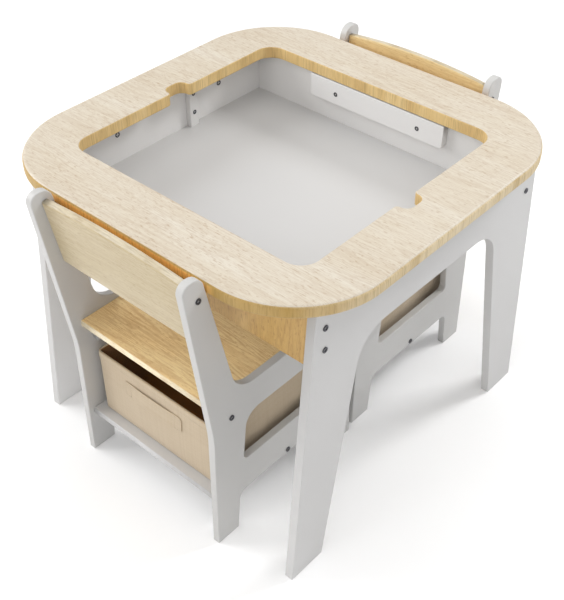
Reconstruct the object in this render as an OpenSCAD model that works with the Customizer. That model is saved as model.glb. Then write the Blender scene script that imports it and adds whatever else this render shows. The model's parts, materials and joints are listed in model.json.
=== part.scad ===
// Children's activity table with two tuck-in chairs and a fabric bin under each seat.
// Frame: origin on the floor under the middle of the table, +Z up, +X across the
// chairs, chair A tucked in from -Y and chair B from +Y. Millimetres.

/* [Table] */
// Length of each side of the square tabletop
top_size = 600; // [560:5:640]
// Height of the tabletop above the floor
table_h = 490; // [480:5:510]
// Thickness of the tabletop ring
ring_t = 20; // [18:1:22]
// Radius of the tabletop's outer corners
corner_r = 140; // [100:5:160]
// Width of the opening in the ring, from side to side
opening_w = 432; // [420:2:440]
// Depth of the opening in the ring, from chair to chair
opening_d = 416; // [400:2:416]
// Radius of the opening's corners
opening_r = 28; // [20:1:40]
// Thickness of the leg panels and aprons
board_t = 14; // [12:1:16]
// Width over the two leg panels
panel_span = 537; // [530:1:545]
// Height of the apron boards
apron_h = 99; // [90:1:105]
// Height of the tray floor's upper face above the floor
tray_z = 392; // [385:1:400]

/* [Leg panels] */
// Width of a leg panel at the floor, front to back
panel_foot_w = 570; // [560:2:580]
// Width of a leg panel at the top, front to back
panel_top_w = 490; // [486:2:500]
// Width of each leg at the floor
leg_w = 65; // [55:1:75]
// Height of the arch between the legs
arch_h = 380; // [360:2:385]
// Radius of the arch's corners
arch_r = 55; // [40:1:60]

/* [Chairs] */
// Width over a chair's side panels
chair_w = 292; // [280:2:310]
// Thickness of the chair boards
chair_t = 12; // [10:1:13]
// Depth of a chair at the floor, over its feet
chair_d = 304; // [300:1:304]
// Height of a chair's back posts
post_h = 504; // [495:1:520]
// Height of the arms
arm_h = 277; // [272:1:285]
// Height of the seat's upper face
seat_h = 266; // [262:1:270]
// Height of the shelf's upper face
shelf_h = 86; // [84:1:92]
// How far the backrest leans back, in degrees
back_lean = 9.7; // [5:0.1:11]
// Distance from the table's middle to the back of chair A's rear feet
chair_a_place = 308.5; // [308:0.5:330]
// Distance from the table's middle to the back of chair B's rear feet
chair_b_place = 314; // [308:0.5:330]
// How far chair B stands off the table's centre line
chair_b_aside = -6; // [-60:1:60]

/* [Bins] */
// Width of a fabric bin
bin_w = 246; // [220:2:256]
// Depth of a fabric bin
bin_d = 250; // [220:2:252]
// Height of a fabric bin
bin_h = 119; // [100:1:130]
// Thickness of the bin's stiffened walls
bin_wall = 3; // [2:0.5:4]

/* [Hidden] */
$fn = 48;

white = "whitesmoke";
birch = "burlywood";
cloth = "tan";
steel = "dimgray";
dowel_wood = "peru";
play = 0.2;              // clearance across a bore or a groove

// Heights and planes of the table
ring_z = table_h - ring_t;               // underside of the ring
panel_out = panel_span / 2;              // outer face of a leg panel
panel_in = panel_out - board_t;          // inner face of a leg panel
apron_out = opening_d / 2 + 27;          // outer face of an apron
apron_in = apron_out - board_t;          // inner face of an apron
apron_mid = apron_out - board_t / 2;
apron_z = ring_z - apron_h;              // lower edge of an apron

// Finger notches at the middle of the opening's two sides
notch_w = 38;
notch_d = 19;
notch_shift = 5;         // each notch's step off the middle, a half turn apart

// Tray floor, set in grooves
floor_t = 5;
groove_d = 5;

// Rails under the ring on the aprons, and cleats on the leg panels
rail_l = 257;
rail_h = 40;
rail_gap = 1.5;          // between a rail and the ring
rail_t = apron_in - opening_d / 2;
cleat_w = 18;
cleat_t = 10;
cleat_y = 58;            // middle of the left panel's cleat

// Furniture bolts with hex sockets, and what they screw into
bolt_d = 6;
head_d = 8.6;
head_t = 1.4;
socket_af = 4;
socket_depth = 2;
bolt_zs = [table_h - 82, table_h - 47];
apron_bolt_l = 44;
nut_d = 10;              // barrel nut
nut_l = 11;
nut_in = 28;             // from the end of the apron to the middle of the nut
dowel_d = 8;
dowel_l = 28;
dowel_in = 19.5;         // length of a dowel inside the board that it ends
insert_d = 9;
insert_l = 12;

// Cam fittings between the leg panels and the ring
cam_d = 9;
cam_t = 10;
cam_proud = 0.4;         // how far a cam's face stands out of the panel
cam_drop = 31;           // from the ring's underside to the middle of the cam
cam_pitch = 219;
cam_shift = 15;          // the pair's step off the middle, a half turn apart
stud_d = 4;
stud_head_d = 5.6;
stud_in_ring = 11;

// Wood screws
screw_d = 3.8;
screw_head_d = 7.6;
screw_head_t = 2.4;
screw_proud = 0.3;       // how far a screw's head stands out of the board
rail_screw_xs = [-75.5, 83.5];
ring_screw_x = 110;

// Chair, in its own frame: X across, Y forward from the rear feet, Z up
side_in = chair_w / 2 - chair_t;         // inner face of a side panel
foot_w = 42;
rail_under = 72;                         // lower edge of the side's bottom rail
seat_back = 13.6;                        // rear edge of the seat
shelf_back = 11;                         // rear edge of the shelf
boards_front = chair_d - 12;             // front edge of the seat and shelf
back_bottom_z = 381.5;
back_rear_y = 1.5;                       // rear face of the backrest at its lower edge
back_end_h = 109;                        // height of the backrest at its ends
back_mid_h = 117;                        // height of the backrest at its crown
back_bolt_up = 90;                       // from the backrest's lower edge to its bolts
back_dowel_up = 30;
seat_cleat_h = 32;
seat_cleat_z = seat_h - chair_t - seat_cleat_h;
seat_cleat_ys = [30, chair_d - 30];
cleat_bolt_ys = [37.7, chair_d - 37.7];
seat_screw_ys = [75, chair_d - 75];
shelf_dowel_ys = [50, chair_d - 50];
chair_bolt_l = chair_t + insert_l - 2;

// Bin, in its chair's frame
bin_back = 26.4;
bin_z = shelf_h + 0.3;
base_t = 2.5;
handle_w = 120;
handle_h = 28;
handle_r = 6;
handle_x = -4;
handle_z = bin_z + 67.5;
handle_out = 3.2;                        // how far the strap stands off the bin
strap_t = 1.6;
strap_tab = 14;

// ---------------------------------------------------------------- outlines

function unit(v) = v / norm(v);

// Points of the arc of radius r that rounds the corner at b, between a and c
function corner_arc(a, b, c, r) =
    let (u = unit(a - b), v = unit(c - b), half = acos(u * v) / 2,
         centre = b + unit(u + v) * r / sin(half),
         from = b + u * r / tan(half) - centre,
         to = b + v * r / tan(half) - centre,
         start = atan2(from.y, from.x),
         sweep = (180 - 2 * half) * sign(cross(from, to)),
         steps = max(4, ceil(sqrt(r) * 2)))
    [for (i = [0:steps]) centre + r * [cos(start + sweep * i / steps), sin(start + sweep * i / steps)]];

// Closed outline through corners given as [x, y, radius]
function rounded(corners) =
    let (n = len(corners), at = function (i) [corners[i % n].x, corners[i % n].y])
    [for (i = [0:n - 1])
        each corners[i][2] == 0 ? [at(i)] : corner_arc(at(i + n - 1), at(i), at(i + 1), corners[i][2])];

function mirrored(corners) = [for (i = [len(corners) - 1:-1:0]) [-corners[i].x, corners[i].y, corners[i][2]]];

// Right half of the opening, from its front corner to its back corner
function opening_side(shift) =
    let (x = opening_w / 2, y = opening_d / 2, n = notch_w / 2)
    [[x, -y, opening_r],
     [x, shift - n, 6], [x + notch_d, shift - n, 12.5], [x + notch_d, shift + n, 12.5], [x, shift + n, 6],
     [x, y, opening_r]];

function half_turn(corners) = [for (c = corners) [-c.x, -c.y, c[2]]];

// Outline drawn in Y and Z, extruded along X from x to x + t
module upright(x, t) {
    translate([x, 0, 0]) rotate([90, 0, 90]) linear_extrude(t) children();
}

// Cylinder along X or Y, from its start point
module rod_x(start, d, l) { translate(start) rotate([0, 90, 0]) cylinder(d = d, h = l); }
module rod_y(start, d, l) { translate(start) rotate([-90, 0, 0]) cylinder(d = d, h = l); }

module both_x() { children(); mirror([1, 0, 0]) children(); }
module both_y() { children(); mirror([0, 1, 0]) children(); }
module turned_pair() { children(); rotate(180) children(); }

// ---------------------------------------------------------------- fasteners

// Bolt along +X with its head's underside at x = 0 and the head on the -X side
module bolt(l) {
    difference() {
        union() {
            rod_x([-head_t, 0, 0], head_d, head_t);
            rod_x([0, 0, 0], bolt_d, l);
        }
        translate([-head_t - 1, 0, 0]) rotate([0, 90, 0])
            cylinder(d = socket_af / cos(30), h = socket_depth + 1, $fn = 6);
    }
}

// Countersunk wood screw along +Z from a board's face at z = 0, with a cross slot
module wood_screw(l) {
    translate([0, 0, -screw_proud]) difference() {
        union() {
            cylinder(d1 = screw_head_d, d2 = screw_d, h = screw_head_t);
            cylinder(d = screw_d, h = l);
        }
        for (a = [0, 90]) rotate(a) translate([-2, -0.4, -1]) cube([4, 0.8, 2]);
    }
}

// Space that a wood screw of length l fills, with clearance
module screw_bore(l) {
    translate([0, 0, -1]) cylinder(d = screw_head_d + 2 * play, h = 1.01);
    cylinder(d1 = screw_head_d + 2 * play, d2 = screw_d + play, h = screw_head_t + play);
    cylinder(d = screw_d + play, h = l + play);
}

// ---------------------------------------------------------------- table

module opening_outline() {
    polygon(rounded(concat(opening_side(-notch_shift), half_turn(opening_side(-notch_shift)))));
}

module tabletop_ring() {
    half = top_size / 2;
    color(birch) difference() {
        translate([0, 0, ring_z]) linear_extrude(ring_t) difference() {
            polygon(rounded([[half, -half, corner_r], [half, half, corner_r],
                             [-half, half, corner_r], [-half, -half, corner_r]]));
            opening_outline();
        }
        at_cams() translate([0, 0, ring_z - 1]) cylinder(d = stud_d + play, h = stud_in_ring + 1 + play);
        at_ring_screws() screw_bore(rail_h + 12);
    }
}

// The places of the four cam fittings, over each leg panel's middle plane
module at_cams() {
    turned_pair() for (s = [-1, 1])
        translate([-(panel_out + panel_in) / 2, cam_shift + s * cam_pitch / 2, 0]) children();
}

// The places of the four screws that go up through the rails into the ring
module at_ring_screws() {
    both_y() both_x() translate([ring_screw_x, apron_in - rail_t / 2, ring_z - rail_h]) children();
}

module panel_outline() {
    arch_foot = panel_foot_w / 2 - leg_w;
    arch_top = arch_foot - 0.18 * arch_h;
    side = [[arch_top, arch_h, arch_r], [arch_foot, 0, 0], [panel_foot_w / 2, 0, 0],
            [panel_top_w / 2, ring_z, 0]];
    polygon(rounded(concat(side, mirrored(side))));
}

// Left leg panel; the right one is the same board turned half a turn
module leg_panel() {
    color(white) difference() {
        upright(-panel_out, board_t) panel_outline();
        both_y() {
            for (z = bolt_zs) rod_x([-panel_out - 1, apron_mid, z], bolt_d + 2 * play, board_t + 2);
            rod_x([-panel_in - 9, apron_mid, mean(bolt_zs)], dowel_d + play, 10);
        }
        translate([-panel_in - groove_d, -apron_in, tray_z - floor_t - play / 2])
            cube([groove_d + 1, 2 * apron_in, floor_t + play]);
        at_cams() {
            translate([0, 0, ring_z - cam_drop - 5]) cylinder(d = stud_head_d + 1, h = cam_drop + 6);
            cam_bore();
        }
        at_cleat_screws() screw_bore(cleat_t + 10);
    }
}

function mean(v) = (v[0] + v[1]) / 2;

// Bore for a cam, open at the left panel's inner face
module cam_bore() {
    rod_x([board_t / 2 - cam_t - play, 0, ring_z - cam_drop], cam_d + play, cam_t + play + 1);
}

module leg_panel_left() { leg_panel(); }
module leg_panel_right() { rotate(180) leg_panel(); }

module apron_back() {
    color(birch) difference() {
        translate([-panel_in, apron_in, apron_z]) cube([2 * panel_in, board_t, apron_h]);
        both_x() {
            for (z = bolt_zs) {
                rod_x([panel_in - nut_in - 8, apron_mid, z], bolt_d + 2 * play, nut_in + 9);
                rod_y([panel_in - nut_in, apron_in - 1, z], nut_d + play, nut_l + 1.5);
            }
            rod_x([panel_in - dowel_in, apron_mid, mean(bolt_zs)], dowel_d + play, dowel_in + 1);
        }
        at_rail_screws() screw_bore(rail_t + 11);
        translate([-panel_in - 1, apron_in - 1, tray_z - floor_t - play / 2])
            cube([2 * panel_in + 2, groove_d + 1, floor_t + play]);
    }
}

module apron_front() { rotate(180) apron_back(); }

module tray_floor() {
    reach = groove_d - play;
    color(white) translate([-panel_in - reach, -apron_in - reach, tray_z - floor_t]) difference() {
        cube([2 * (panel_in + reach), 2 * (apron_in + reach), floor_t]);
        // corners that clear the aprons' ends
        for (x = [0, 2 * panel_in + reach], y = [0, 2 * apron_in + reach])
            translate([x, y, -1]) translate([-play, -play, 0]) cube([reach + 2 * play, reach + 2 * play, floor_t + 2]);
    }
}

// The places of the back rail's two screws, their axes along +Y
module at_rail_screws() {
    for (x = rail_screw_xs) translate([x, apron_in - rail_t, table_h - 42]) rotate([-90, 0, 0]) children();
}

module top_rail_back() {
    r = 5;
    top = ring_z - rail_gap;
    color(white) difference() {
        translate([1.5, apron_in, 0]) rotate([90, 0, 0]) linear_extrude(rail_t)
            polygon(rounded([[rail_l / 2, top, 0], [-rail_l / 2, top, 0],
                             [-rail_l / 2, ring_z - rail_h, r], [rail_l / 2, ring_z - rail_h, r]]));
        at_rail_screws() screw_bore(rail_t + 11);
        at_ring_screws() screw_bore(rail_h + 12);
    }
}

module top_rail_front() { rotate(180) top_rail_back(); }

// The places of the left cleat's two screws, their axes along -X
module at_cleat_screws() {
    for (z = [table_h - 40, table_h - 73])
        translate([-panel_in + cleat_t, cleat_y, z]) rotate([0, -90, 0]) children();
}

module wall_cleat_left() {
    color(white) difference() {
        translate([-panel_in, cleat_y - cleat_w / 2, tray_z]) cube([cleat_t, cleat_w, ring_z - tray_z]);
        at_cleat_screws() screw_bore(cleat_t + 10);
    }
}

module wall_cleat_right() { rotate(180) wall_cleat_left(); }

module apron_bolts() {
    color(steel) both_x() both_y() for (z = bolt_zs)
        translate([-panel_out, apron_mid, z]) bolt(apron_bolt_l);
}

module apron_barrel_nuts() {
    color(steel) both_x() both_y() for (z = bolt_zs) difference() {
        rod_y([panel_in - nut_in, apron_in + 0.2, z], nut_d, nut_l);
        rod_x([panel_in - nut_in - nut_d, apron_mid, z], bolt_d + play, 2 * nut_d);
    }
}

module apron_dowels() {
    color(dowel_wood) both_x() both_y()
        rod_x([panel_in - dowel_in + play, apron_mid, mean(bolt_zs)], dowel_d, dowel_l);
}

module ring_cam_studs() {
    color(steel) at_cams() {
        translate([0, 0, ring_z - cam_drop]) cylinder(d = stud_d, h = cam_drop + stud_in_ring);
        translate([0, 0, ring_z - cam_drop - 3]) cylinder(d = stud_head_d, h = 5);
    }
}

module ring_cams() {
    z = ring_z - cam_drop;
    color(steel) at_cams() difference() {
        rod_x([board_t / 2 - cam_t, 0, z], cam_d, cam_t + cam_proud);
        translate([0, 0, z - 4]) cylinder(d = stud_head_d + 0.6, h = cam_d);
        for (a = [0, 90]) translate([board_t / 2 - 1.2, 0, z]) rotate([a, 0, 0])
            translate([0, -3, -0.7]) cube([2, 6, 1.4]);
    }
}

module ring_screws() { color(steel) at_ring_screws() wood_screw(rail_h + 12); }

module rail_screws() {
    color(steel) turned_pair() at_rail_screws() wood_screw(rail_t + 11);
}

module cleat_screws() { color(steel) turned_pair() at_cleat_screws() wood_screw(cleat_t + 10); }

// ---------------------------------------------------------------- chairs

module in_chair_a() { translate([0, -chair_a_place, 0]) children(); }
module in_chair_b() { translate([chair_b_aside, chair_b_place, 0]) rotate(180) children(); }

module side_outline() {
    taper = 0.1 * rail_under;
    polygon(rounded([
        [0, 0, 0], [foot_w, 0, 0], [foot_w + taper, rail_under, 14],
        [chair_d - foot_w - taper, rail_under, 14], [chair_d - foot_w, 0, 0], [chair_d, 0, 0],
        [chair_d - 8, arm_h, 30], [51, arm_h, 42], [0, post_h, 18],
        [-34, post_h, 14], [3, 222, 250]]));
}

module window_outline() {
    mid = chair_d / 2;
    polygon(rounded([[mid - 93.5, 134, 9], [mid + 93.5, 134, 9], [mid + 84.5, 222, 27], [mid - 84.5, 222, 27]]));
}

// Places on the right side panel's inner face, with +X pointing out through the panel
module at_back_bolt() { translate([side_in, 0, 0]) on_backrest(back_bolt_up) children(); }
module at_back_dowel() { translate([side_in, 0, 0]) on_backrest(back_dowel_up) children(); }
module at_cleat_bolts() {
    for (y = cleat_bolt_ys) translate([side_in, y, seat_cleat_z + seat_cleat_h / 2]) children();
}
module at_shelf_bolt() { translate([side_in, chair_d / 2, shelf_h - chair_t / 2]) children(); }
module at_shelf_dowels() { for (y = shelf_dowel_ys) translate([side_in, y, shelf_h - chair_t / 2]) children(); }

// The middle of the leaning backrest's thickness, at a height along it
module on_backrest(up) { backrest_frame() translate([0, chair_t / 2, up]) children(); }

// The backrest's own frame: origin on its rear face at its lower edge, Z up along it
module backrest_frame() {
    translate([0, back_rear_y, back_bottom_z]) rotate([back_lean, 0, 0]) children();
}

module chair_side_right() {
    color(white) difference() {
        upright(side_in, chair_t) difference() {
            side_outline();
            window_outline();
        }
        at_back_bolt() bolt_hole();
        at_cleat_bolts() bolt_hole();
        at_shelf_bolt() bolt_hole();
        at_back_dowel() dowel_hole();
        at_shelf_dowels() dowel_hole();
    }
}

module chair_side_left() { mirror([1, 0, 0]) chair_side_right(); }

module bolt_hole() { rod_x([-1, 0, 0], bolt_d + 2 * play, chair_t + 2); }
module dowel_hole() { rod_x([-1, 0, 0], dowel_d + play, 9); }

// Bore in a board's end for an insert nut and the bolt's tip, open at the inner face
module insert_bore() {
    rod_x([-insert_l - play, 0, 0], insert_d + play, insert_l + play + 1);
    rod_x([-insert_l - 3, 0, 0], bolt_d + play, insert_l + 3);
}
module end_dowel_bore() { rod_x([-dowel_in - play, 0, 0], dowel_d + play, dowel_in + play + 1); }

module chair_backrest() {
    rise = back_mid_h - back_end_h;
    crown_r = (side_in * side_in + rise * rise) / (2 * rise);
    color(birch) difference() {
        backrest_frame() rotate([90, 0, 0]) translate([0, 0, -chair_t]) linear_extrude(chair_t) intersection() {
            translate([-side_in, 0]) square([2 * side_in, back_mid_h + 1]);
            translate([0, back_mid_h - crown_r]) circle(r = crown_r, $fn = 360);
        }
        both_x() {
            at_back_bolt() insert_bore();
            at_back_dowel() end_dowel_bore();
        }
    }
}

module chair_seat() {
    color(birch) difference() {
        translate([-side_in, seat_back, seat_h - chair_t])
            cube([2 * side_in, boards_front - seat_back, chair_t]);
        at_seat_screws() screw_bore(seat_cleat_h + 9);
    }
}

module at_seat_screws() {
    both_x() for (y = seat_screw_ys) translate([side_in - chair_t / 2, y, seat_cleat_z]) children();
}

module chair_shelf() {
    color(white) difference() {
        translate([-side_in, shelf_back, shelf_h - chair_t])
            cube([2 * side_in, boards_front - shelf_back, chair_t]);
        both_x() {
            at_shelf_bolt() insert_bore();
            at_shelf_dowels() end_dowel_bore();
        }
    }
}

module chair_seat_cleat_right() {
    color(white) difference() {
        translate([side_in - chair_t, seat_cleat_ys[0], seat_cleat_z])
            cube([chair_t, seat_cleat_ys[1] - seat_cleat_ys[0], seat_cleat_h]);
        at_cleat_bolts() rod_x([-chair_t - 1, 0, 0], insert_d + play, chair_t + 2);
        at_seat_screws() screw_bore(seat_cleat_h + 9);
    }
}

module chair_seat_cleat_left() { mirror([1, 0, 0]) chair_seat_cleat_right(); }

// A bolt through a side panel, its head on the panel's outer face
module chair_bolt() { translate([chair_t, 0, 0]) mirror([1, 0, 0]) bolt(chair_bolt_l); }

module chair_backrest_bolts() { color(steel) both_x() at_back_bolt() chair_bolt(); }
module chair_cleat_bolts() { color(steel) both_x() at_cleat_bolts() chair_bolt(); }
module chair_shelf_bolts() { color(steel) both_x() at_shelf_bolt() chair_bolt(); }

module insert_nut() {
    difference() {
        rod_x([-insert_l, 0, 0], insert_d, insert_l - play);
        rod_x([-insert_l - 1, 0, 0], bolt_d + play, insert_l + 2);
    }
}

module chair_insert_nuts() {
    color(steel) both_x() {
        at_back_bolt() insert_nut();
        at_cleat_bolts() insert_nut();
        at_shelf_bolt() insert_nut();
    }
}

module chair_dowels() {
    color(dowel_wood) both_x() {
        at_back_dowel() rod_x([-dowel_in, 0, 0], dowel_d, dowel_in + 7.5);
        at_shelf_dowels() rod_x([-dowel_in, 0, 0], dowel_d, dowel_in + 7.5);
    }
}

module chair_seat_screws() { color(steel) at_seat_screws() wood_screw(seat_cleat_h + 9); }

// ---------------------------------------------------------------- bins

module bin_shell() {
    color(cloth) translate([-bin_w / 2, bin_back, bin_z]) difference() {
        cube([bin_w, bin_d, bin_h]);
        translate([bin_wall, bin_wall, bin_wall])
            cube([bin_w - 2 * bin_wall, bin_d - 2 * bin_wall, bin_h]);
    }
}

module bin_base_board() {
    gap = bin_wall + 0.5;
    color(cloth) translate([-bin_w / 2 + gap, bin_back + gap, bin_z + bin_wall])
        cube([bin_w - 2 * gap, bin_d - 2 * gap, base_t]);
}

// Cloth strap sewn to the bin's rear face by a tab at each end, bowed out between them
module bin_handle() {
    half = handle_w / 2;
    bow = half - strap_tab;
    color(cloth) translate([handle_x, bin_back, handle_z]) intersection() {
        linear_extrude(handle_h) difference() {
            polygon(rounded([[half, 0, 0], [half, -strap_t, 0], [bow + 5, -strap_t, 12],
                             [bow - 20, -handle_out, 30], [-bow + 20, -handle_out, 30],
                             [-bow - 5, -strap_t, 12], [-half, -strap_t, 0], [-half, 0, 0]]));
            polygon(rounded([[bow - 1, 1, 0], [bow - 1, 0, 0], [bow - 21, strap_t - handle_out, 26],
                             [-bow + 21, strap_t - handle_out, 26], [-bow + 1, 0, 0], [-bow + 1, 1, 0]]));
        }
        rotate([90, 0, 0]) linear_extrude(3 * handle_out, center = true)
            polygon(rounded([[half, 0, handle_r], [half, handle_h, handle_r],
                             [-half, handle_h, handle_r], [-half, 0, handle_r]]));
    }
}

tabletop_ring();
leg_panel_left();
leg_panel_right();
apron_front();
apron_back();
tray_floor();
top_rail_front();
top_rail_back();
wall_cleat_left();
wall_cleat_right();
apron_bolts();
apron_barrel_nuts();
apron_dowels();
ring_cam_studs();
ring_cams();
ring_screws();
rail_screws();
cleat_screws();

in_chair_a() chair_side_left();  // chair_a_side_left
in_chair_a() chair_side_right();  // chair_a_side_right
in_chair_a() chair_backrest();  // chair_a_backrest
in_chair_a() chair_seat();  // chair_a_seat
in_chair_a() chair_shelf();  // chair_a_shelf
in_chair_a() chair_seat_cleat_left();  // chair_a_seat_cleat_left
in_chair_a() chair_seat_cleat_right();  // chair_a_seat_cleat_right
in_chair_a() chair_backrest_bolts();  // chair_a_backrest_bolts
in_chair_a() chair_cleat_bolts();  // chair_a_cleat_bolts
in_chair_a() chair_shelf_bolts();  // chair_a_shelf_bolts
in_chair_a() chair_insert_nuts();  // chair_a_insert_nuts
in_chair_a() chair_dowels();  // chair_a_dowels
in_chair_a() chair_seat_screws();  // chair_a_seat_screws
in_chair_a() bin_shell();  // bin_a_shell
in_chair_a() bin_base_board();  // bin_a_base_board
in_chair_a() bin_handle();  // bin_a_handle

in_chair_b() chair_side_left();  // chair_b_side_left
in_chair_b() chair_side_right();  // chair_b_side_right
in_chair_b() chair_backrest();  // chair_b_backrest
in_chair_b() chair_seat();  // chair_b_seat
in_chair_b() chair_shelf();  // chair_b_shelf
in_chair_b() chair_seat_cleat_left();  // chair_b_seat_cleat_left
in_chair_b() chair_seat_cleat_right();  // chair_b_seat_cleat_right
in_chair_b() chair_backrest_bolts();  // chair_b_backrest_bolts
in_chair_b() chair_cleat_bolts();  // chair_b_cleat_bolts
in_chair_b() chair_shelf_bolts();  // chair_b_shelf_bolts
in_chair_b() chair_insert_nuts();  // chair_b_insert_nuts
in_chair_b() chair_dowels();  // chair_b_dowels
in_chair_b() chair_seat_screws();  // chair_b_seat_screws
in_chair_b() bin_shell();  // bin_b_shell
in_chair_b() bin_base_board();  // bin_b_base_board
in_chair_b() bin_handle();  // bin_b_handle
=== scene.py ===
import json
import math

import bmesh
import bpy
import numpy as np
from mathutils import Matrix, Vector, noise
from mathutils.geometry import delaunay_2d_cdt

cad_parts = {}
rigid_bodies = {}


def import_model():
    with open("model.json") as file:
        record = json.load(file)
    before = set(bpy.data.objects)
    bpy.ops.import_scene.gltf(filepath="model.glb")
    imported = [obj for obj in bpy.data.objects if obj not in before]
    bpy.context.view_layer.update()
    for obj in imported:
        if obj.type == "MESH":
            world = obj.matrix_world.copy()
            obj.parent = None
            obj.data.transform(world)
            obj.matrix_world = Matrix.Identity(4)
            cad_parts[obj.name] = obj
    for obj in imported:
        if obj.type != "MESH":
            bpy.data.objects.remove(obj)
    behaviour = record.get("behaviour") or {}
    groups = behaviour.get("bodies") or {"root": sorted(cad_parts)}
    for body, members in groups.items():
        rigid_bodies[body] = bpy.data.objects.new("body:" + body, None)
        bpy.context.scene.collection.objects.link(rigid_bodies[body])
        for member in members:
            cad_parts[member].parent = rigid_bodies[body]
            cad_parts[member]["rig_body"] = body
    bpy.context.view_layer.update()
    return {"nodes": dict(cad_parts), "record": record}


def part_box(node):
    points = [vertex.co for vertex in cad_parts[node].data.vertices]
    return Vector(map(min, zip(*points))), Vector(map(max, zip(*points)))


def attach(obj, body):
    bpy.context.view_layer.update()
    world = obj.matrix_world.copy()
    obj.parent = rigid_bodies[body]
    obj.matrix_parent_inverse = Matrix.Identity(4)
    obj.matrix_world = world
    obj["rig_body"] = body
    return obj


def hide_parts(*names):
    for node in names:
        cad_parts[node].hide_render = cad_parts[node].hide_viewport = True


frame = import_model()

MM = 0.001
NODES = frame["nodes"]


# ---------------------------------------------------------------- camera, light and floor

CAMERA_TARGET = Vector((0.0460, -0.0567, 0.2550))
CAMERA_AZIMUTH = math.radians(41.9)
CAMERA_ELEVATION = math.radians(40.0)
CAMERA_DISTANCE = 1.5534
CAMERA_ROLL = math.radians(-0.21)
CAMERA_LENS = 61.93


def make_camera():
    back = Vector((
        math.cos(CAMERA_ELEVATION) * math.sin(CAMERA_AZIMUTH),
        -math.cos(CAMERA_ELEVATION) * math.cos(CAMERA_AZIMUTH),
        math.sin(CAMERA_ELEVATION),
    ))
    data = bpy.data.cameras.new("camera")
    data.lens = CAMERA_LENS
    camera = bpy.data.objects.new("camera", data)
    turn = back.to_track_quat("Z", "Y").to_matrix() @ Matrix.Rotation(CAMERA_ROLL, 3, "Z")
    camera.matrix_world = turn.to_4x4()
    camera.location = CAMERA_TARGET + back * CAMERA_DISTANCE
    bpy.context.scene.collection.objects.link(camera)
    bpy.context.scene.camera = camera


def area_light(name, place, target, size, watts, colour):
    data = bpy.data.lights.new(name, "AREA")
    data.shape = "RECTANGLE"
    data.size, data.size_y = size
    data.energy = watts
    data.color = colour
    light = bpy.data.objects.new(name, data)
    light.location = place
    light.rotation_euler = (Vector(target) - Vector(place)).to_track_quat("-Z", "Y").to_euler()
    bpy.context.scene.collection.objects.link(light)


def make_lights():
    world = bpy.data.worlds.new("studio")
    world.use_nodes = True
    background = world.node_tree.nodes["Background"]
    background.inputs["Color"].default_value = (0.99, 0.99, 1.0, 1.0)
    background.inputs["Strength"].default_value = 0.4
    bpy.context.scene.world = world
    middle = (0.0, 0.0, 0.3)
    area_light("overhead", (0.35, 0.25, 2.6), middle, (2.4, 2.4), 22.0, (1.0, 1.0, 0.99))
    area_light("front", (0.4, -2.6, 1.5), middle, (1.8, 1.4), 18.0, (1.0, 0.99, 0.98))
    area_light("front_left", (-2.4, -1.2, 1.8), middle, (2.2, 2.0), 64.0, (1.0, 1.0, 1.0))
    area_light("front_right", (1.9, -2.0, 2.4), middle, (1.6, 1.6), 12.0, (1.0, 1.0, 1.0))
    area_light("side", (2.8, 0.5, 1.2), middle, (1.6, 1.6), 2.0, (1.0, 1.0, 1.0))
    area_light("back_right", (1.0, 2.0, 2.1), middle, (0.7, 0.7), 34.0, (1.0, 1.0, 1.0))


def make_floor():
    bm = bmesh.new()
    bmesh.ops.create_grid(bm, x_segments=1, y_segments=1, size=6.0)
    mesh = bpy.data.meshes.new("floor")
    bm.to_mesh(mesh)
    bm.free()
    floor = bpy.data.objects.new("floor", mesh)
    bpy.context.scene.collection.objects.link(floor)
    floor.location.z = -0.0002
    mesh.materials.append(new_material("floor_white", (0.985, 0.985, 0.985, 1.0), 0.8))


# ---------------------------------------------------------------- materials


def srgb(red, green, blue):
    """A colour given as 0 to 255 screen values."""
    def linear(c):
        c /= 255
        return c / 12.92 if c <= 0.04045 else ((c + 0.055) / 1.055) ** 2.4
    return (linear(red), linear(green), linear(blue), 1.0)


def new_material(name, colour, roughness, metallic=0.0):
    material = bpy.data.materials.new(name)
    material.use_nodes = True
    shader = material.node_tree.nodes["Principled BSDF"]
    shader.inputs["Base Color"].default_value = colour
    shader.inputs["Roughness"].default_value = roughness
    shader.inputs["Metallic"].default_value = metallic
    return material


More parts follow.
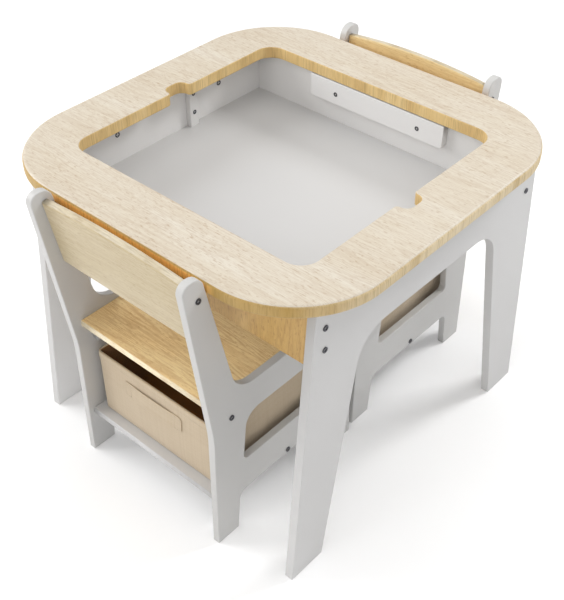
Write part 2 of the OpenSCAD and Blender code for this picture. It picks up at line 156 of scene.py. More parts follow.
class Graph:
    """Short calls that add and join a material's nodes."""

    def __init__(self, material):
        self.tree = material.node_tree
        self.shader = self.tree.nodes["Principled BSDF"]

    def add(self, kind, inputs=(), **settings):
        node = self.tree.nodes.new(kind)
        for key, value in settings.items():
            setattr(node, key, value)
        for key, value in dict(inputs).items():
            if isinstance(value, bpy.types.NodeSocket):
                self.tree.links.new(value, node.inputs[key])
            else:
                node.inputs[key].default_value = value
        return node

    def math(self, operation, a, b=0.0):
        return self.add("ShaderNodeMath", {0: a, 1: b}, operation=operation).outputs[0]

    def stretched(self, scale, space="Object"):
        """Places on the surface, with each axis scaled to features per metre."""
        where = self.add("ShaderNodeTexCoord").outputs[space]
        return self.add("ShaderNodeMapping", {"Vector": where, "Scale": scale}).outputs[0]

    def noise(self, where, detail=3.0, roughness=0.5, distortion=0.0):
        return self.add("ShaderNodeTexNoise", {
            "Vector": where, "Scale": 1.0, "Detail": detail, "Roughness": roughness,
            "Distortion": distortion}).outputs["Fac"]

    def ramp(self, value, *stops):
        """A value between 0 and 1 turned into a colour by stops of (position, colour)."""
        node = self.add("ShaderNodeValToRGB", {"Fac": value})
        elements = node.color_ramp.elements
        while len(elements) < len(stops):
            elements.new(0.5)
        for element, (position, colour) in zip(elements, stops):
            element.position = position
            element.color = colour
        return node.outputs["Color"]

    def span(self, value, low, high, to_low=0.0, to_high=1.0):
        """The stretch of value from low to high, carried over to to_low to to_high and clamped there."""
        return self.add("ShaderNodeMapRange", {
            "Value": value, "From Min": low, "From Max": high,
            "To Min": to_low, "To Max": to_high}).outputs[0]

    def mix(self, factor, a, b, blend="MIX"):
        node = self.add("ShaderNodeMix", {"Factor": factor}, data_type="RGBA", blend_type=blend)
        for key, value in (("A", a), ("B", b)):
            socket = [s for s in node.inputs if s.name == key and s.type == "RGBA"][0]
            if isinstance(value, bpy.types.NodeSocket):
                self.tree.links.new(value, socket)
            else:
                socket.default_value = value
        return [s for s in node.outputs if s.type == "RGBA"][0]

    def bump(self, height, strength, distance):
        node = self.add("ShaderNodeBump", {"Height": height, "Strength": strength, "Distance": distance})
        self.tree.links.new(node.outputs[0], self.shader.inputs["Normal"])

    def link(self, socket, name):
        self.tree.links.new(socket, self.shader.inputs[name])


def along(axis, lengthwise, across):
    """A texture scale in features per metre: one number along the grain and one across it."""
    scale = [across, across, across]
    scale[axis] = lengthwise
    return tuple(scale)


def wood(name, pale, mid, dark, axis, roughness=0.4, contrast=1.0, figured=1.0):
    """Birch veneer under clear lacquer, its grain along axis: wavy figure, fine fibres, short flecks."""
    material = new_material(name, mid, roughness)
    g = Graph(material)
    figure = g.noise(g.stretched(along(axis, 2.2, 11.0)), 4.0, 0.55, 0.9)
    colour = g.ramp(figure, (0.28, pale), (0.5, mid), (0.74, pale))
    rings = g.noise(g.stretched(along(axis, 1.4, 26.0)), 2.0, 0.5, 1.6)
    lines = g.math("ABSOLUTE", g.math("SINE", g.math("MULTIPLY", rings, 46.0)))
    colour = g.mix(g.math("MULTIPLY", g.span(lines, 0.6, 1.0), 0.2 * figured), colour, dark)
    mottle = g.noise(g.stretched(along(axis, 30.0, 110.0)), 3.0, 0.6, 1.4)
    colour = g.mix(g.math("MULTIPLY", g.span(mottle, 0.45, 0.7), 0.13 * figured), colour, dark)
    fibre = g.noise(g.stretched(along(axis, 90.0, 720.0)), 3.0, 0.6, 0.3)
    colour = g.mix(g.math("MULTIPLY", g.span(fibre, 0.45, 0.75), 0.24 * contrast), colour, dark)
    fleck = g.noise(g.stretched(along(axis, 125.0, 560.0)), 1.0, 0.5)
    spots = g.span(fleck, 0.61, 0.70)
    colour = g.mix(g.math("MULTIPLY", spots, 0.46 * contrast), colour, dark)
    patch = g.noise(g.stretched((5.0, 5.0, 5.0)), 2.0, 0.5)
    colour = g.mix(g.math("MULTIPLY", g.span(patch, 0.4, 0.75), 0.3), colour, pale)
    g.link(colour, "Base Color")
    g.link(g.span(fibre, 0.3, 0.8, roughness - 0.05, roughness + 0.12), "Roughness")
    g.bump(g.math("SUBTRACT", fibre, g.math("MULTIPLY", spots, 0.7)), 0.16, 0.0003)
    g.shader.inputs["Coat Weight"].default_value = 0.08
    g.shader.inputs["Coat Roughness"].default_value = 0.3
    return material


def end_grain(name, pale, mid, dark, scale=(520.0, 520.0, 26.0), painted_bounce_light=None):
    """A board's sawn edge: fine lines across its thickness and slow bands of tone.

    When a warm colour is given, the edges turn darker the more they face Y, as painted shade: from the plain
    end grain on the edges that face X, through the corners, to the sides that face Y, whose middle takes
    the warm colour as painted bounce light.
    """
    material = new_material(name, mid, 0.55)
    g = Graph(material)
    bands = g.noise(g.stretched((26.0, 26.0, 4.0)), 3.0, 0.55)
    colour = g.ramp(bands, (0.2, pale), (0.5, mid), (0.95, dark))
    if painted_bounce_light:
        where = g.add("ShaderNodeTexCoord")
        facing = g.add("ShaderNodeSeparateXYZ", {"Vector": where.outputs["Normal"]})
        place = g.add("ShaderNodeSeparateXYZ", {"Vector": where.outputs["Object"]})
        turned, x = g.math("ABSOLUTE", facing.outputs["Y"]), place.outputs["X"]
        # painted shade: the edges are darkened towards dark the more they face Y
        colour = g.mix(g.span(turned, 0.2, 0.75, 0.0, 0.75), colour, dark)
        # painted bounce light: on the sides that face Y, where |X| is under 0.138 to 0.158 m, the edge takes
        # the warm colour
        middle = g.span(g.math("ABSOLUTE", x), 0.158, 0.138)
        colour = g.mix(g.math("MULTIPLY", middle, g.span(turned, 0.9, 1.0)), colour, painted_bounce_light)
    lines = g.noise(g.stretched(scale), 3.0, 0.65)
    seam = tuple(0.5 * part for part in dark[:3]) + (1.0,)
    colour = g.mix(g.math("MULTIPLY", g.span(lines, 0.47, 0.66), 0.36), colour, seam)
    g.link(colour, "Base Color")
    g.bump(lines, 0.3, 0.0003)
    return material


def paint(name, colour, shade):
    """Satin paint with a faint orange peel and slow tone changes."""
    material = new_material(name, colour, 0.38)
    g = Graph(material)
    cloud = g.noise(g.stretched((3.0, 3.0, 3.0)), 2.0, 0.5)
    g.link(g.mix(g.math("MULTIPLY", g.span(cloud, 0.35, 0.7), 0.5), colour, shade), "Base Color")
    peel = g.noise(g.stretched((420.0, 420.0, 420.0)), 2.0, 0.5)
    g.link(g.span(cloud, 0.3, 0.7, 0.34, 0.44), "Roughness")
    g.bump(peel, 0.06, 0.0003)
    return material


def weave(name, colour, deep, pitch):
    """Plain-woven cloth: threads over and under each other, each thread a little different in tone."""
    material = new_material(name, colour, 0.9)
    g = Graph(material)
    where = g.stretched((1.0 / pitch, 1.0 / pitch, 1.0), "UV")
    wobble = g.noise(g.stretched((160.0, 160.0, 1.0), "UV"), 2.0, 0.5)
    parts = g.add("ShaderNodeSeparateXYZ", {"Vector": where})
    across = g.math("ADD", parts.outputs["X"], g.math("MULTIPLY", wobble, 0.7))
    up = g.math("ADD", parts.outputs["Y"], g.math("MULTIPLY", wobble, 0.7))
    warp = g.math("SINE", g.math("MULTIPLY", across, math.pi))
    weft = g.math("SINE", g.math("MULTIPLY", up, math.pi))
    over = g.math("GREATER_THAN", g.math("MULTIPLY", warp, weft), 0.0)
    warp_high = g.math("ABSOLUTE", warp)
    weft_high = g.math("ABSOLUTE", weft)
    height = g.math("ADD", g.math("MULTIPLY", over, warp_high),
                    g.math("MULTIPLY", g.math("SUBTRACT", 1.0, over), weft_high))
    warp_tone = g.add("ShaderNodeTexWhiteNoise", {"W": g.math("FLOOR", across)},
                      noise_dimensions="1D").outputs["Value"]
    weft_tone = g.add("ShaderNodeTexWhiteNoise", {"W": g.math("FLOOR", up)},
                      noise_dimensions="1D").outputs["Value"]
    tone = g.math("MULTIPLY", g.math("ADD", warp_tone, weft_tone), 0.5)
    shaded = g.mix(g.math("MULTIPLY", tone, 0.32), colour, deep)
    # painted shade: the low parts of the weave, where the threads dip between raised ones, are darkened
    # towards deep
    shaded = g.mix(g.span(height, 0.0, 0.55, 0.45, 0.0), shaded, deep)
    slow = g.noise(g.stretched((9.0, 9.0, 1.0), "UV"), 3.0, 0.5)
    shaded = g.mix(g.math("MULTIPLY", g.span(slow, 0.35, 0.75), 0.18), shaded, deep)
    g.link(shaded, "Base Color")
    g.bump(height, 0.5, 0.0003)
    g.shader.inputs["Sheen Weight"].default_value = 0.25
    g.shader.inputs["Sheen Roughness"].default_value = 0.6
    g.shader.inputs["Specular IOR Level"].default_value = 0.25
    return material


def steel(name, colour):
    """Brushed plated steel."""
    material = new_material(name, colour, 0.34, 1.0)
    g = Graph(material)
    brushed = g.noise(g.stretched((900.0, 900.0, 900.0)), 3.0, 0.6)
    g.link(g.span(brushed, 0.3, 0.7, 0.26, 0.46), "Roughness")
    g.bump(brushed, 0.08, 0.0001)
    return material


X, Z = 0, 2
# The white is one paint: its copies are painted lighter inside the well and on the leg panels' inner faces
# (painted light) and darker on the chairs (painted shade). The backrests are warmer inside.
LOOKS = {
    "top_face": wood("birch_top", srgb(211, 204, 190), srgb(204, 194, 176), srgb(156, 126, 94), axis=X,
                     roughness=0.48),
    # The ring's edge look carries painted shade on the edges that face Y and a painted warm bounce light in
    # their middle.
    "top_edge": end_grain("birch_top_edge", srgb(223, 208, 178), srgb(213, 194, 156), srgb(166, 128, 36),
                          painted_bounce_light=srgb(240, 184, 104)),
    "rim_edge": end_grain("birch_rim_edge", srgb(228, 202, 148), srgb(214, 184, 126), srgb(180, 142, 84)),
    "back_face": wood("birch_back", srgb(201, 188, 160), srgb(190, 175, 141), srgb(150, 122, 82),
                      axis=X, contrast=0.9),
    "back_inner": wood("birch_back_inner", srgb(223, 204, 156), srgb(213, 190, 138), srgb(164, 124, 72),
                       axis=X, contrast=0.9),
    "back_edge": end_grain("birch_back_edge", srgb(208, 199, 180), srgb(198, 186, 160), srgb(168, 144, 106),
                           (40.0, 420.0, 420.0)),
    "seat_face": wood("birch_seat", srgb(254, 230, 176), srgb(252, 220, 160), srgb(188, 130, 62), axis=X,
                      contrast=1.0, figured=1.8),
    "seat_edge": end_grain("birch_seat_edge", srgb(250, 238, 212), srgb(246, 230, 196), srgb(212, 180, 132),
                           (60.0, 420.0, 420.0)),
    "apron_face": wood("birch_apron", srgb(210, 176, 112), srgb(198, 160, 92), srgb(148, 104, 44), axis=Z,
                       contrast=1.2, figured=1.4),
    "white": paint("satin_white", srgb(199, 198, 197), srgb(193, 192, 191)),
    # painted light: the same white paint made lighter for the well and for the leg panels' inner faces
    "white_inside": paint("satin_white_inside", srgb(218, 217, 216), srgb(212, 211, 210)),
    "white_panel_inside": paint("satin_white_panel_inside", srgb(227, 226, 225), srgb(221, 220, 219)),
    # painted shade: the same white paint made darker for the chairs
    "white_chair": paint("satin_white_chair", srgb(194, 193, 191), srgb(188, 187, 185)),
    "cloth": weave("linen_beige", srgb(198, 181, 155), srgb(164, 140, 106), 0.0011),
    "lining": weave("lining_brown", srgb(150, 104, 52), srgb(100, 66, 30), 0.0011),
    "thread": weave("thread_beige", srgb(198, 184, 162), srgb(172, 154, 130), 0.0008),
    "steel": steel("dark_zinc", (0.09, 0.09, 0.1, 1.0)),
    "dowel": end_grain("dowel_beech", srgb(224, 196, 150), srgb(208, 176, 126), srgb(168, 128, 80)),
}


# ---------------------------------------------------------------- boards

ROUND_STEPS = 4
WELD = 1e-5
FITTING_AREA = 0.00025      # a smaller hole holds a bolt, screw or dowel, which fills it


def add_object(name, bm, materials, body):
    mesh = bpy.data.meshes.new(name)
    bm.to_mesh(mesh)
    bm.free()
    for material in materials:
        mesh.materials.append(LOOKS[material])
    piece = bpy.data.objects.new(name, mesh)
    bpy.context.scene.collection.objects.link(piece)
    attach(piece, body)
    return piece


def smooth(piece):
    """Rounded edges shade smoothly and flat faces stay flat."""
    piece.data.shade_smooth()
    modifier = piece.modifiers.new("flat faces", "WEIGHTED_NORMAL")
    modifier.mode = "FACE_AREA"
    modifier.weight = 100


def broad_face(node, toward):
    """A board's widest flat face: its outlines, material on their left, and its plane and thickness.

    Of two faces of one size, it is the one that looks toward the given direction.
    """
    bm = bmesh.new()
    bm.from_mesh(NODES[node].data)
    bmesh.ops.remove_doubles(bm, verts=bm.verts, dist=WELD)
    area = {}
    for face in bm.faces:
        key = tuple(round(c, 2) for c in face.normal)
        area[key] = area.get(key, 0.0) + face.calc_area()
    widest = Vector(max(area, key=lambda n: (round(area[n], 5), Vector(n).dot(toward))))
    facing = [f for f in bm.faces if (f.normal - widest).length < 0.02]
    normal = max(facing, key=lambda f: f.calc_area()).normal.copy()
    heights = [v.co.dot(normal) for v in bm.verts]
    level, low = max(heights), min(heights)
    chosen = {f for f in bm.faces if f.normal.dot(normal) > 0.999
              and all(level - v.co.dot(normal) < WELD for v in f.verts)}
    across = Vector((1, 0, 0)) if abs(normal.x) < 0.9 else Vector((0, 1, 0))
    across = (across - normal * across.dot(normal)).normalized()
    up = normal.cross(across)
    follows = {}
    for face in chosen:
        for corner in face.loops:
            if not any(other in chosen for other in corner.edge.link_faces if other is not face):
                follows[corner.vert] = corner.link_loop_next.vert
    outlines = []
    while follows:
        start, vert = follows.popitem()
        points = [start]
        while vert is not start:
            points.append(vert)
            vert = follows.pop(vert)
        outlines.append(straightened(np.array([(p.co.dot(across), p.co.dot(up)) for p in points])))
    bm.free()
    outlines = [o for o in outlines if abs(signed_area(o)) > FITTING_AREA]
    return outlines, (across, up, normal, level), level - low


def signed_area(outline):
    x, y = outline.T
    return 0.5 * float(np.sum(x * np.roll(y, -1) - y * np.roll(x, -1)))


def straightened(outline):
    """The outline without points that lie on a straight run."""
    before = outline - np.roll(outline, 1, axis=0)
    after = np.roll(outline, -1, axis=0) - outline
    turn = before[:, 0] * after[:, 1] - before[:, 1] * after[:, 0]
    size = np.linalg.norm(before, axis=1) * np.linalg.norm(after, axis=1)
    return outline[np.abs(turn) > 0.002 * size]


def inset(outline, distance):
    """The outline moved into the material on its left."""
    edge = np.roll(outline, -1, axis=0) - outline
    edge /= np.linalg.norm(edge, axis=1)[:, None]
    after = np.stack((-edge[:, 1], edge[:, 0]), axis=1)
    before = np.roll(after, 1, axis=0)
    return outline + distance * (before + after) / (1 + np.sum(before * after, axis=1))[:, None]


def filled(outlines):
    """Triangles that fill the space inside the outlines, as places in the joined list of their points."""
    points = np.concatenate(outlines)
    edges, start = [], 0
    for outline in outlines:
        edges += [(start + i, start + (i + 1) % len(outline)) for i in range(len(outline))]
        start += len(outline)
    _, _, triangles, origins, _, _ = delaunay_2d_cdt([Vector(p) for p in points], edges, [], 0, 1e-9)
    triangles = np.array([[origins[i][0] for i in t] for t in triangles])
    middles = points[triangles].mean(axis=1)
    a, b = points[[e[0] for e in edges]], points[[e[1] for e in edges]]
    rises = (a[None, :, 1] > middles[:, None, 1]) != (b[None, :, 1] > middles[:, None, 1])
    slope = (b[:, 0] - a[:, 0]) / np.where(b[:, 1] == a[:, 1], 1.0, b[:, 1] - a[:, 1])
    reaches = a[:, 0] + slope * (middles[:, None, 1] - a[:, 1]) > middles[:, None, 0]
    return triangles[np.sum(rises & reaches, axis=1) % 2 == 1].tolist()


def rounded_board(node, radius, face, edge=None, back=None, toward=(0, 0, 1),
                  hole_radius=None, hole_edge=None):
    """A board with the CAD node's outline and thickness, and with rounded edges. It replaces that node.

    Its face looks toward the given direction, and its openings can have their own rounding and edge look.
    """
    outlines, (across, up, normal, level), thickness = broad_face(node, Vector(toward))
    radii = [radius if signed_area(o) > 0 else (hole_radius or radius) for o in outlines]
    looks = [face, edge or face, back or face, hole_edge or edge or face]
    bm = bmesh.new()

    def ring(outline, sunk):
        return [bm.verts.new(across * x + up * y + normal * (level - sunk)) for x, y in outline]

    caps = ([], [])
    flats = []
    for outline, r in zip(outlines, radii):
        quarter = [math.pi / 2 * k / ROUND_STEPS for k in range(ROUND_STEPS + 1)]
        profile = [(r * (1 - math.sin(a)), r * (1 - math.cos(a))) for a in quarter]
        profile += [(aside, thickness - sunk) for aside, sunk in reversed(profile)]
        rings = [ring(inset(outline, aside), sunk) for aside, sunk in profile]
        side_look = 1 if signed_area(outline) > 0 else 3
        for k, (upper, lower) in enumerate(zip(rings, rings[1:])):
            on_edge = ROUND_STEPS // 2 <= k <= ROUND_STEPS * 3 // 2
            for i in range(len(upper)):
                j = (i + 1) % len(upper)
                quad = bm.faces.new((upper[i], lower[i], lower[j], upper[j]))
                quad.material_index = side_look if on_edge else (0 if k < ROUND_STEPS else 2)
        caps[0].extend(rings[0])
        caps[1].extend(rings[-1])
        flats.append(inset(outline, r))
    for verts, index in ((caps[0], 0), (caps[1], 2)):
        for triangle in filled(flats):
            bm.faces.new([verts[i] for i in triangle]).material_index = index
    bmesh.ops.recalc_face_normals(bm, faces=bm.faces)
    piece = add_object("look_" + node, bm, looks, NODES[node]["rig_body"])
    smooth(piece)
    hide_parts(node)
    return piece


def slot_of(node):
    return [s["material_slot"] for s in frame["record"]["subparts"] if s["node"] == node][0]


def make_boards():
    # The well's rails, wall cleats and aprons' inner faces, and the leg panels' inner faces, take the white
    # painted lighter (painted light); the chairs' sides take it painted darker (painted shade).
    boards = [
        ("tabletop_ring", dict(radius=5.5 * MM, hole_radius=2.0 * MM, face="top_face", edge="top_edge",
                               hole_edge="rim_edge")),
        ("leg_panel_left", dict(radius=1.0 * MM, face="white", back="white_panel_inside", toward=(-1, 0, 0))),
        ("leg_panel_right", dict(radius=1.0 * MM, face="white", back="white_panel_inside", toward=(1, 0, 0))),
        ("apron_front", dict(radius=0.8 * MM, face="apron_face", edge="white", back="white_inside",
                             toward=(0, -1, 0))),
        ("apron_back", dict(radius=0.8 * MM, face="apron_face", edge="white", back="white_inside",
                            toward=(0, 1, 0))),
        ("tray_floor", dict(radius=0.6 * MM, face="white")),
        ("top_rail_front", dict(radius=1.2 * MM, face="white_inside")),
        ("top_rail_back", dict(radius=1.2 * MM, face="white_inside")),
        ("wall_cleat_left", dict(radius=1.0 * MM, face="white_inside")),
        ("wall_cleat_right", dict(radius=1.0 * MM, face="white_inside")),
    ]
    for chair, rear in (("chair_a", -1), ("chair_b", 1)):
        boards += [
            (chair + "_side_left", dict(radius=1.4 * MM, face="white_chair")),
            (chair + "_side_right", dict(radius=1.4 * MM, face="white_chair")),
            (chair + "_backrest", dict(radius=4.0 * MM, face="back_face", edge="back_edge", back="back_inner",
                                       toward=(0, rear, 0))),
            (chair + "_seat", dict(radius=1.6 * MM, face="seat_face", edge="seat_edge")),
            (chair + "_shelf", dict(radius=1.6 * MM, face="white")),
            (chair + "_seat_cleat_left", dict(radius=1.0 * MM, face="white")),
            (chair + "_seat_cleat_right", dict(radius=1.0 * MM, face="white")),
        ]
    for bin_name in ("bin_a", "bin_b"):
        boards.append((bin_name + "_base_board", dict(radius=0.8 * MM, face="lining")))
    for node, settings in boards:
        rounded_board(node, **settings)


# ---------------------------------------------------------------- fabric bins

BIN_CORNER = 6.0 * MM
SIDE_STEPS = 36
CORNER_STEPS = 6
HEM = 14.0 * MM
CLOTH = 3.0 * MM
BULGE = 2.4 * MM
RIM_DIP = 1.8 * MM
RIM_BOW = 0.8 * MM
WRINKLE = 0.5 * MM
WRINKLES_PER_METRE = 26.0


class BinShape:
    """A bin's soft walls in its own frame: X across, its handle on the -Y side, Z up from its base."""

    def __init__(self, width, depth, height, seed):
        self.width, self.depth, self.height = width, depth, height
        self.seed = Vector((seed, 0.0, 0.0))
        self.around = self.outline()

    def outline(self):
        """Points round the base: place, outward normal, share of the way along the side, arc length."""
        half = ((self.width / 2, self.depth / 2), (self.depth / 2, self.width / 2))
        points = []
        for side in range(4):
            turn = Matrix.Rotation(side * math.pi / 2, 2)
            along_half, out = half[side % 2]
            flat = along_half - BIN_CORNER
            for k in range(SIDE_STEPS):
                share = k / SIDE_STEPS
                place = Vector((-flat + 2 * flat * share, -out))
                points.append((turn @ place, turn @ Vector((0, -1)), share))
            for k in range(CORNER_STEPS):
                angle = -math.pi / 2 + math.pi / 2 * k / CORNER_STEPS
                outward = Vector((math.cos(angle), math.sin(angle)))
                place = Vector((flat, -out + BIN_CORNER)) + outward * BIN_CORNER
                points.append((turn @ place, turn @ outward, 0.0))
        run = 0.0
        result = []
        for i, (place, outward, share) in enumerate(points):
            if i:
                run += (place - points[i - 1][0]).length
            result.append((place, outward, share, run))
        return result

    def point(self, place, outward, share, inwards, z):
        """A point of the wall at a height, moved in from its outer face, with the bulge, dip and wrinkles."""
        middle = math.sin(math.pi * share)
        level = min(max(z / self.height, 0.0), 1.0)
        swell = BULGE * middle * math.sin(math.pi * level ** 0.8)
        bow = RIM_BOW * middle * level ** 4
        spot = Vector((place.x, place.y, z)) * WRINKLES_PER_METRE + self.seed
        soft = noise.noise(spot) * WRINKLE * min(1.0, z / (20 * MM))
        out = place + outward * (swell - bow + soft - inwards)
        return Vector((out.x, out.y, z - RIM_DIP * middle * level ** 6))


def wall_profile(height):
    """Rows of (depth into the wall, height), from the underside over the hem to the inner floor."""
    rows = [(9 * MM, 0.0), (3 * MM, 0.0), (0.9 * MM, 0.9 * MM), (0.0, 3 * MM)]
    under_hem = height - HEM
    rows += [(0.0, 3 * MM + (under_hem - 3 * MM) * k / 18) for k in range(1, 18)]
    rows += [(0.3 * MM, under_hem - 0.8 * MM), (0.3 * MM, under_hem - 0.2 * MM)]
    rows += [(-0.5 * MM, under_hem + 0.3 * MM)]
    rows += [(-0.6 * MM, under_hem + HEM * k / 6) for k in range(1, 6)]
    rows += [(-0.2 * MM, height - 0.6 * MM), (0.7 * MM, height - 0.05 * MM)]
    rows += [(1.9 * MM, height), (3.0 * MM, height - 0.6 * MM)]
    rows += [(CLOTH + 0.5 * MM, under_hem + HEM * k / 4) for k in (3, 2, 1)]
    rows += [(CLOTH + 0.5 * MM, under_hem + 0.3 * MM), (CLOTH - 0.2 * MM, under_hem - 0.5 * MM)]
    rows += [(CLOTH, under_hem - (under_hem - 4 * MM) * k / 12) for k in range(1, 13)]
    rows += [(CLOTH + 1 * MM, CLOTH), (CLOTH + 6 * MM, CLOTH)]
    return rows


def make_bin(name, turned):
    low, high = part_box(name + "_shell")
    size = high - low
    shape = BinShape(size.x, size.y, size.z, 3.0 if turned else 11.0)
    place = Matrix.Translation(((low.x + high.x) / 2, (low.y + high.y) / 2, low.z))
    if turned:
        place = place @ Matrix.Rotation(math.pi, 4, "Z")
    make_shell(name, shape, place)
    make_hem_stitches(name, shape, place)
    make_handle(name, shape, place)


def make_shell(name, shape, place):
    bm = bmesh.new()
    uv = bm.loops.layers.uv.new("UVMap")
    profile = wall_profile(shape.height)
    rows = [[bm.verts.new(place @ shape.point(p, out, share, inwards, z))
             for p, out, share, _ in shape.around] for inwards, z in profile]
    lengths = [0.0]
    for (in_a, z_a), (in_b, z_b) in zip(profile, profile[1:]):
        lengths.append(lengths[-1] + math.hypot(in_b - in_a, z_b - z_a))
    whole = shape.around[-1][3] + (shape.around[-1][0] - shape.around[0][0]).length
    rim = max(range(len(profile)), key=lambda k: profile[k][1])
    count = len(shape.around)
    for k, (lower, upper) in enumerate(zip(rows, rows[1:])):
        for i in range(count):
            j = (i + 1) % count
            face = bm.faces.new((lower[i], lower[j], upper[j], upper[i]))
            face.material_index = 1 if k > rim else 0
            run_i = shape.around[i][3]
            run_j = shape.around[j][3] if j else whole
            below, above = lengths[k], lengths[k + 1]
            spots = ((run_i, below), (run_j, below), (run_j, above), (run_i, above))
            for corner, spot in zip(face.loops, spots):
                corner[uv].uv = spot
    for row, index, z in ((rows[0], 0, profile[0][1]), (rows[-1], 1, profile[-1][1])):
        hub = bm.verts.new(place @ Vector((0, 0, z)))
        for i in range(count):
            face = bm.faces.new((row[i], row[(i + 1) % count], hub))
            face.material_index = index
            for corner in face.loops:
                corner[uv].uv = (corner.vert.co.x, corner.vert.co.y)
    bmesh.ops.recalc_face_normals(bm, faces=bm.faces)
    piece = add_object(name + "_cloth_shell", bm, ["cloth", "lining"], name)
    smooth(piece)
    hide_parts(name + "_shell")


STITCH_PITCH = 4.2 * MM
STITCH_LENGTH = 3.0 * MM
STITCH_RADIUS = 0.35 * MM
STITCH_SIDES = 6


def add_stitch(bm, uv, centre, direction, outward):
    """One thread stitch: a short rounded bead along direction, half sunk into the cloth."""
    side = direction.cross(outward).normalized()
    rings = []
    for k in range(5):
        t = -1 + k / 2
        girth = STITCH_RADIUS * math.sqrt(max(0.04, 1 - (abs(t) ** 3)))
        middle = centre + direction * (STITCH_LENGTH / 2 * t) + outward * (0.15 * MM * (1 - t * t))
        rings.append([bm.verts.new(middle + side * girth * math.cos(a) + outward * girth * math.sin(a))
                      for a in (2 * math.pi * n / STITCH_SIDES for n in range(STITCH_SIDES))])
    faces = [bm.faces.new((a[i - 1], a[i], b[i], b[i - 1]))
             for a, b in zip(rings, rings[1:]) for i in range(STITCH_SIDES)]
    faces += [bm.faces.new(rings[0]), bm.faces.new(rings[-1])]
    for face in faces:
        for corner in face.loops:
            offset = corner.vert.co - centre
            corner[uv].uv = (offset.dot(direction), offset.dot(side))


def stitch_along(bm, uv, points, outwards):
    """Stitches at an even pitch along a line of points on the cloth."""
    run = 0.0
    due = STITCH_PITCH / 2
    for a, b, outward in zip(points, points[1:], outwards):
        step = (b - a).length
        while due < run + step:
            add_stitch(bm, uv, a.lerp(b, (due - run) / step), (b - a).normalized(), outward)
            due += STITCH_PITCH
        run += step


def finish_stitches(name, bm, body):
    bmesh.ops.recalc_face_normals(bm, faces=bm.faces)
    piece = add_object(name, bm, ["thread"], body)
    piece.data.shade_smooth()


def make_hem_stitches(name, shape, place):
    bm = bmesh.new()
    uv = bm.loops.layers.uv.new("UVMap")
    level = shape.height - HEM + 2.6 * MM
    ring = shape.around + shape.around[:1]
    points = [place @ shape.point(p, out, share, -0.6 * MM, level) for p, out, share, _ in ring]
    turn = place.to_3x3()
    outwards = [turn @ Vector((out.x, out.y, 0)) for _, out, _, _ in ring]
    stitch_along(bm, uv, points, outwards)
    finish_stitches(name + "_hem_stitches", bm, name)


HANDLE_STEPS = 72
HANDLE_POINTS = 24          # round one cross-section of the strap
STRAP = 1.6 * MM
STRAP_CORNER = 5.5 * MM
STRAP_STANDS = 1.5 * MM
SEWN_GAP = 0.1 * MM
TAB = 14.0 * MM
TAB_SEAM = 3.0 * MM         # from the tab's outer edges to its stitches


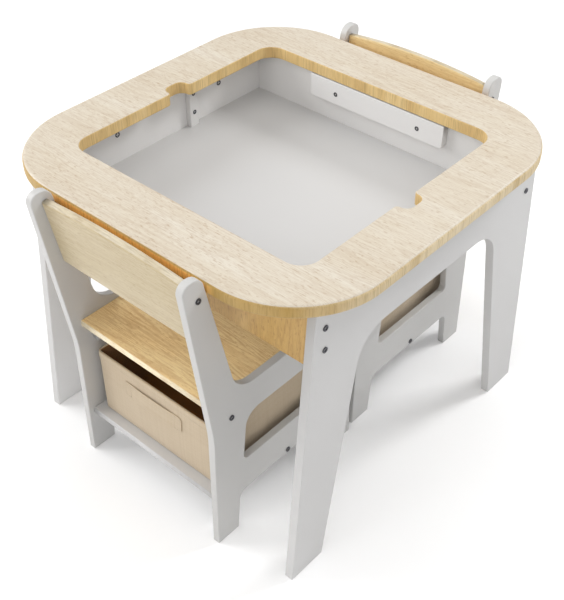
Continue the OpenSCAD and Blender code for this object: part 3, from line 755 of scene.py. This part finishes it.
def make_handle(name, shape, place):
    """A flat strap on the bin's rear wall, sewn down by a tab at each end and bowed a little between them."""
    low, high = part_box(name + "_handle")
    local = place.inverted()
    ends = sorted(((local @ low).x, (local @ high).x))
    bottom, top = (local @ low).z, (local @ high).z
    middle, half = (ends[0] + ends[1]) / 2, (ends[1] - ends[0]) / 2
    centre, tall = (top + bottom) / 2, (top - bottom) / 2

    def wall(x, z):
        share = (x + shape.width / 2 - BIN_CORNER) / (shape.width - 2 * BIN_CORNER)
        return shape.point(Vector((x, -shape.depth / 2)), Vector((0, -1)), share, 0.0, z).y

    def stand(s):
        """How far the strap's inner face stands off the wall, s being the distance from its middle."""
        free = half - TAB
        if abs(s) >= free:
            return SEWN_GAP
        return SEWN_GAP + (STRAP_STANDS - SEWN_GAP) * (1 - (s / free) ** 4) ** 1.5

    def squared(value):
        """A sine or cosine pushed outwards, so that a round section becomes a flat strap with soft edges."""
        return math.copysign(abs(value) ** 0.25, value)

    bm = bmesh.new()
    uv = bm.loops.layers.uv.new("UVMap")
    sections = []
    for k in range(HANDLE_STEPS + 1):
        s = -half * math.cos(math.pi * k / HANDLE_STEPS)
        past = max(0.0, abs(s) - (half - STRAP_CORNER))
        height = tall - STRAP_CORNER + math.sqrt(max(STRAP_CORNER ** 2 - past ** 2, (1.2 * MM) ** 2))
        section = []
        for n in range(HANDLE_POINTS):
            angle = 2 * math.pi * n / HANDLE_POINTS
            up = squared(math.sin(angle)) * height
            out = squared(math.cos(angle)) * STRAP / 2
            z = centre + up
            y = wall(middle + s, z) - stand(s) - STRAP / 2 - out
            section.append((bm.verts.new(place @ Vector((middle + s, y, z))), s, up))
        sections.append(section)
    for a, b in zip(sections, sections[1:]):
        for i in range(HANDLE_POINTS):
            ring = (a[i - 1], a[i], b[i], b[i - 1])
            face = bm.faces.new([vert for vert, _, _ in ring])
            for loop, (_, s, up) in zip(face.loops, ring):
                loop[uv].uv = (s, up)
    for section in (sections[0], sections[-1]):
        face = bm.faces.new([vert for vert, _, _ in section])
        for loop, (_, s, up) in zip(face.loops, section):
            loop[uv].uv = (s, up)
    bmesh.ops.recalc_face_normals(bm, faces=bm.faces)
    piece = add_object(name + "_strap_handle", bm, ["cloth"], name)
    smooth(piece)
    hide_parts(name + "_handle")

    bm = bmesh.new()
    uv = bm.loops.layers.uv.new("UVMap")
    outward = place.to_3x3() @ Vector((0, -1, 0))
    near, far, seam = half - TAB, half - TAB_SEAM, tall - TAB_SEAM
    for sign in (-1, 1):
        points = []
        for s, up in ((near, -seam), (far, -seam), (far, seam), (near, seam), (near, -seam)):
            x, z = middle + sign * s, centre + up
            points.append(place @ Vector((x, wall(x, z) - SEWN_GAP - STRAP, z)))
        stitch_along(bm, uv, points, [outward] * len(points))
    finish_stitches(name + "_handle_stitches", bm, name)


# ---------------------------------------------------------------- fittings


def make_fittings():
    """Bolts, screws, nuts, cams and dowels keep their CAD shape, with fine rounded edges."""
    for node, piece in NODES.items():
        slot = slot_of(node)
        if slot not in ("bolt_steel", "dowel_wood"):
            continue
        piece.data.materials.clear()
        piece.data.materials.append(LOOKS["steel" if slot == "bolt_steel" else "dowel"])
        weld = piece.modifiers.new("weld", "WELD")
        weld.merge_threshold = WELD
        bevel = piece.modifiers.new("fine edges", "BEVEL")
        bevel.width = 0.25 * MM
        bevel.segments = 2
        bevel.limit_method = "ANGLE"
        bevel.angle_limit = math.radians(40)
        bevel.harden_normals = True


make_camera()
make_lights()
make_floor()
make_boards()
make_bin("bin_a", turned=False)
make_bin("bin_b", turned=True)
make_fittings()

bpy.context.scene.view_settings.view_transform = "Standard"
